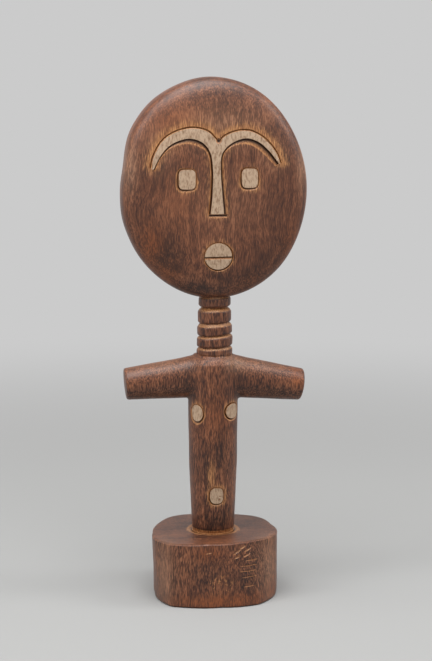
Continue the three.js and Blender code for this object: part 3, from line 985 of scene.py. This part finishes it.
def stainedSkin(tree, fields):
    pores = add(tree, "ShaderNodeMapRange", {
        "Value": fields["pores"], "From Min": 0.38, "From Max": 0.62,
    }, interpolation_type="SMOOTHSTEP")
    amount = add(tree, "ShaderNodeMapRange", {
        "Value": skinMap(tree, "openGrain"), "To Min": 0.42, "To Max": 0.68,
    })
    low = add(tree, "ShaderNodeMath", {0: pores, 1: -0.5, 2: 0}, operation="ADD")
    light = add(tree, "ShaderNodeMath", {0: low, 1: amount, 2: 0.42}, operation="MULTIPLY_ADD")
    for name, strength in (("streaks", 0.7), ("layers", 0.75), ("clouds", 0.7)):
        swing = add(tree, "ShaderNodeMath", {0: fields[name], 1: -0.5}, operation="ADD")
        light = add(tree, "ShaderNodeMath", {0: swing, 1: strength, 2: light}, operation="MULTIPLY_ADD")
    skin = add(tree, "ShaderNodeValToRGB", {"Fac": light})
    ramp = skin.node.color_ramp
    ramp.elements[0].color = linear(finish["dark"])
    ramp.elements[1].color = linear(finish["light"])
    ramp.elements.new(0.48).color = linear(finish["middle"])
    # The pale patches lighten the skin with painted highlight and sheen, and some rubbed wear; the stain patches
    # darken it with stain and painted shade; the ember patches redden it where it is rubbed through.
    for name, gain in (("pale", 0.9), ("stainAndShade", 0.95), ("ember", 1.0)):
        lowest, highest = (0.62, 0.38) if name == "stainAndShade" else (0.36, 0.6)
        patchy = add(tree, "ShaderNodeMapRange", {
            "Value": light, "From Min": lowest, "From Max": highest, "To Min": 0.35, "To Max": gain,
        }, interpolation_type="SMOOTHSTEP")
        share = add(tree, "ShaderNodeMath", {0: patchy, 1: skinMap(tree, name)}, operation="MULTIPLY")
        tone = linear(finish["deep" if name == "stainAndShade" else name])
        skin = add(tree, "ShaderNodeMix", {0: share, 6: skin, 7: tone}, 2, data_type="RGBA")
    return skin


def bareWood(tree, fields):
    figure = add(tree, "ShaderNodeMapRange", {"Value": fields["pores"], "From Min": 0.35, "From Max": 0.65})
    return add(tree, "ShaderNodeMix", {
        0: figure, 6: linear(finish["bareDark"]), 7: linear(finish["bareLight"]),
    }, 2, data_type="RGBA")


# Cream earth pigment rubbed into the reserved shapes, dirty in the pores
def creamPigment(tree, fields):
    worn = add(tree, "ShaderNodeMapRange", {
        "Value": fields["grit"], "From Min": 0.42, "From Max": 0.7,
    }, interpolation_type="SMOOTHSTEP")
    cream = add(tree, "ShaderNodeMix", {
        0: worn, 6: linear(finish["cream"]), 7: linear(finish["creamWorn"]),
    }, 2, data_type="RGBA")
    dirty = add(tree, "ShaderNodeMapRange", {
        "Value": fields["pores"], "From Min": 0.58, "From Max": 0.78, "To Max": 0.7,
    }, interpolation_type="SMOOTHSTEP")
    return add(tree, "ShaderNodeMix", {0: dirty, 6: cream, 7: linear(finish["creamDirt"])}, 2, data_type="RGBA")


def carvedWood():
    material = bpy.data.materials.new("stainedWaxedHardwood")
    material.use_nodes = True
    tree = material.node_tree
    tree.nodes.clear()
    place = add(tree, "ShaderNodeMapping", {
        "Vector": add(tree, "ShaderNodeTexCoord", out="Object"), "Scale": [1 / mm] * 3,
    })
    wander = add(tree, "ShaderNodeTexNoise", {"Vector": place, "Scale": 1 / 45, "Detail": 1}, 1)
    place = add(tree, "ShaderNodeVectorMath", {0: wander, 1: [finish["warp"]] * 3, 2: place}, operation="MULTIPLY_ADD")
    fields = grainFields(tree, place)

    bare = bareWood(tree, fields)
    # Rubbed wood shows bare tan; on the neck's up-facing slopes this tan is painted light as well as wear.
    rubbed = add(tree, "ShaderNodeMath", {0: fields["pores"], 1: 1.3, 2: skinMap(tree, "wear")}, operation="MULTIPLY_ADD")
    rubbed = add(tree, "ShaderNodeMapRange", {
        "Value": rubbed, "From Min": 0.85, "From Max": 1.75,
    }, interpolation_type="SMOOTHSTEP")
    wood = add(tree, "ShaderNodeMix", {0: rubbed, 6: stainedSkin(tree, fields), 7: bare}, 2, data_type="RGBA")
    broken = add(tree, "ShaderNodeMath", {0: skinMap(tree, "fleck"), 1: 0.3, 2: fields["flecks"]}, operation="MULTIPLY_ADD")
    broken = add(tree, "ShaderNodeMapRange", {
        "Value": broken, "From Min": 0.78, "From Max": 0.9, "To Max": 0.8,
    }, interpolation_type="SMOOTHSTEP")
    wood = add(tree, "ShaderNodeMix", {0: broken, 6: wood, 7: bare}, 2, data_type="RGBA")

    # Knife faces show bare wood that turns to cutShadow towards the bottom of each cut: painted shade together with
    # dirt in the cuts.
    knife = skinMap(tree, "knife")
    deep = add(tree, "ShaderNodeMapRange", {
        "Value": skinMap(tree, "cutDepth"), "From Min": 0.15, "From Max": 1.2,
    }, interpolation_type="SMOOTHSTEP")
    cut = add(tree, "ShaderNodeMix", {0: deep, 6: bare, 7: linear(finish["cutShadow"])}, 2, data_type="RGBA")
    wood = add(tree, "ShaderNodeMix", {0: knife, 6: wood, 7: cut}, 2, data_type="RGBA")

    ragged = add(tree, "ShaderNodeMath", {0: fields["grit"], 1: 1.4, 2: skinMap(tree, "paint")}, operation="MULTIPLY_ADD")
    painted = add(tree, "ShaderNodeMapRange", {
        "Value": ragged, "From Min": 0.4, "From Max": 1.1,
    }, interpolation_type="SMOOTHSTEP")
    whole = add(tree, "ShaderNodeMath", {0: 1, 1: knife}, operation="SUBTRACT")
    painted = add(tree, "ShaderNodeMath", {0: painted, 1: whole}, operation="MULTIPLY")
    colour = add(tree, "ShaderNodeMix", {
        0: painted, 6: wood, 7: creamPigment(tree, fields),
    }, 2, data_type="RGBA")

    height = add(tree, "ShaderNodeMath", {0: fields["streaks"], 1: 0.8, 2: fields["pores"]}, operation="MULTIPLY_ADD")
    bump = add(tree, "ShaderNodeBump", {"Strength": 0.5, "Distance": 0.22 * mm, "Height": height})
    waxed = add(tree, "ShaderNodeMapRange", {
        "Value": fields["pores"], "From Min": 0.3, "From Max": 0.7, "To Min": 0.36, "To Max": 0.52,
    })
    rough = add(tree, "ShaderNodeMath", {0: painted, 1: 0.35, 2: waxed}, operation="MULTIPLY_ADD")
    shader = add(tree, "ShaderNodeBsdfPrincipled", {
        "Base Color": colour, "Roughness": rough, "IOR": 1.5, "Normal": bump,
    })
    add(tree, "ShaderNodeOutputMaterial", {"Surface": shader})
    return material


doll = dollObject()
doll.name = "dollCarving"
doll.data.materials.clear()
doll.data.materials.append(carvedWood())
doll.data.calc_loop_triangles()
print("doll joined,", len(doll.data.loop_triangles), "triangles")
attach(doll, "root")
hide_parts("doll")


# Studio

studio = {
    "backdrop": "CBCBCB",
    "floor": "9E9E9D",
    "floorSide": 60.0,  # m
    "floorFade": (0.2, 1.1),  # m from the doll: paper near, backdrop far
    "horizonLight": 0.22,
    "zenithLight": 0.5,
    # name: place in m, width and height in m, watts
    "lights": [
        ("overheadSoftbox", (-0.1, -0.3, 1.25), (1.0, 0.9), 18),
        ("leftSoftbox", (-1.0, -0.35, 0.95), (0.4, 0.7), 5),
        ("rightSoftbox", (1.0, -0.2, 0.95), (0.4, 0.7), 5),
    ],
}


def addWorld():
    world = bpy.data.worlds.new("studio")
    bpy.context.scene.world = world
    world.use_nodes = True
    tree = world.node_tree
    tree.nodes.clear()
    up = add(tree, "ShaderNodeSeparateXYZ", {0: add(tree, "ShaderNodeTexCoord", out="Generated")}, "Z")
    glow = add(tree, "ShaderNodeMapRange", {
        "Value": up, "To Min": studio["horizonLight"], "To Max": studio["zenithLight"],
    })
    seen = add(tree, "ShaderNodeBackground", {"Color": linear(studio["backdrop"])})
    lit = add(tree, "ShaderNodeBackground", {"Strength": glow, "Color": linear("FFFFFF")})
    soft = add(tree, "ShaderNodeLightPath", out="Is Diffuse Ray")
    add(tree, "ShaderNodeOutputWorld", {0: add(tree, "ShaderNodeMixShader", {0: soft, 1: seen, 2: lit})})


def paperFloor():
    paper = bpy.data.materials.new("palePaper")
    paper.use_nodes = True
    tree = paper.node_tree
    tree.nodes.clear()
    away = add(tree, "ShaderNodeVectorMath", {0: add(tree, "ShaderNodeTexCoord", out="Object")}, 1, operation="LENGTH")
    near, far = studio["floorFade"]
    fade = add(tree, "ShaderNodeMapRange", {
        "Value": away, "From Min": near, "From Max": far,
    }, interpolation_type="SMOOTHSTEP")
    sheet = add(tree, "ShaderNodeBsdfPrincipled", {"Base Color": linear(studio["floor"]), "Roughness": 0.9})
    glow = add(tree, "ShaderNodeEmission", {"Color": linear(studio["backdrop"])})
    add(tree, "ShaderNodeOutputMaterial", {0: add(tree, "ShaderNodeMixShader", {0: fade, 1: sheet, 2: glow})})
    half = studio["floorSide"] / 2
    corners = [(-half, -half, 0), (half, -half, 0), (half, half, 0), (-half, half, 0)]
    floor = meshObject("floor", corners, [(0, 1, 2, 3)])
    floor.data.materials.clear()
    floor.data.materials.append(paper)


def addLights():
    for name, place, size, watts in studio["lights"]:
        data = bpy.data.lights.new(name, "AREA")
        data.shape = "RECTANGLE"
        data.size, data.size_y = size
        data.energy = watts
        lamp = bpy.data.objects.new(name, data)
        lamp.location = place
        lamp.rotation_euler = (Vector((0, 0, 0.2)) - Vector(place)).to_track_quat("-Z", "Y").to_euler()
        bpy.context.scene.collection.objects.link(lamp)


camera = {
    "turn": -8.0,  # degrees round from the front, towards the doll's right hand
    "down": 9.1,
    "distance": 1247.3,
    "target": (1.13, -2.5, 180.9),
    "frameHeight": 661,
    "focal": 1855,  # focal length in frame pixels
    "sensor": 36,
}


def addCamera():
    data = bpy.data.cameras.new("camera")
    obj = bpy.data.objects.new("camera", data)
    bpy.context.scene.collection.objects.link(obj)
    data.sensor_width = camera["sensor"]
    data.lens = camera["sensor"] * camera["focal"] / camera["frameHeight"]
    turn = math.radians(camera["turn"])
    down = math.radians(camera["down"])
    away = Vector((math.sin(turn) * math.cos(down), -math.cos(turn) * math.cos(down), math.sin(down)))
    obj.location = (Vector(camera["target"]) + away * camera["distance"]) * mm
    obj.rotation_euler = (-away).to_track_quat("-Z", "Y").to_euler()
    bpy.context.scene.camera = obj


addWorld()
paperFloor()
addLights()
bpy.context.scene.view_settings.view_transform = "Standard"
addCamera()
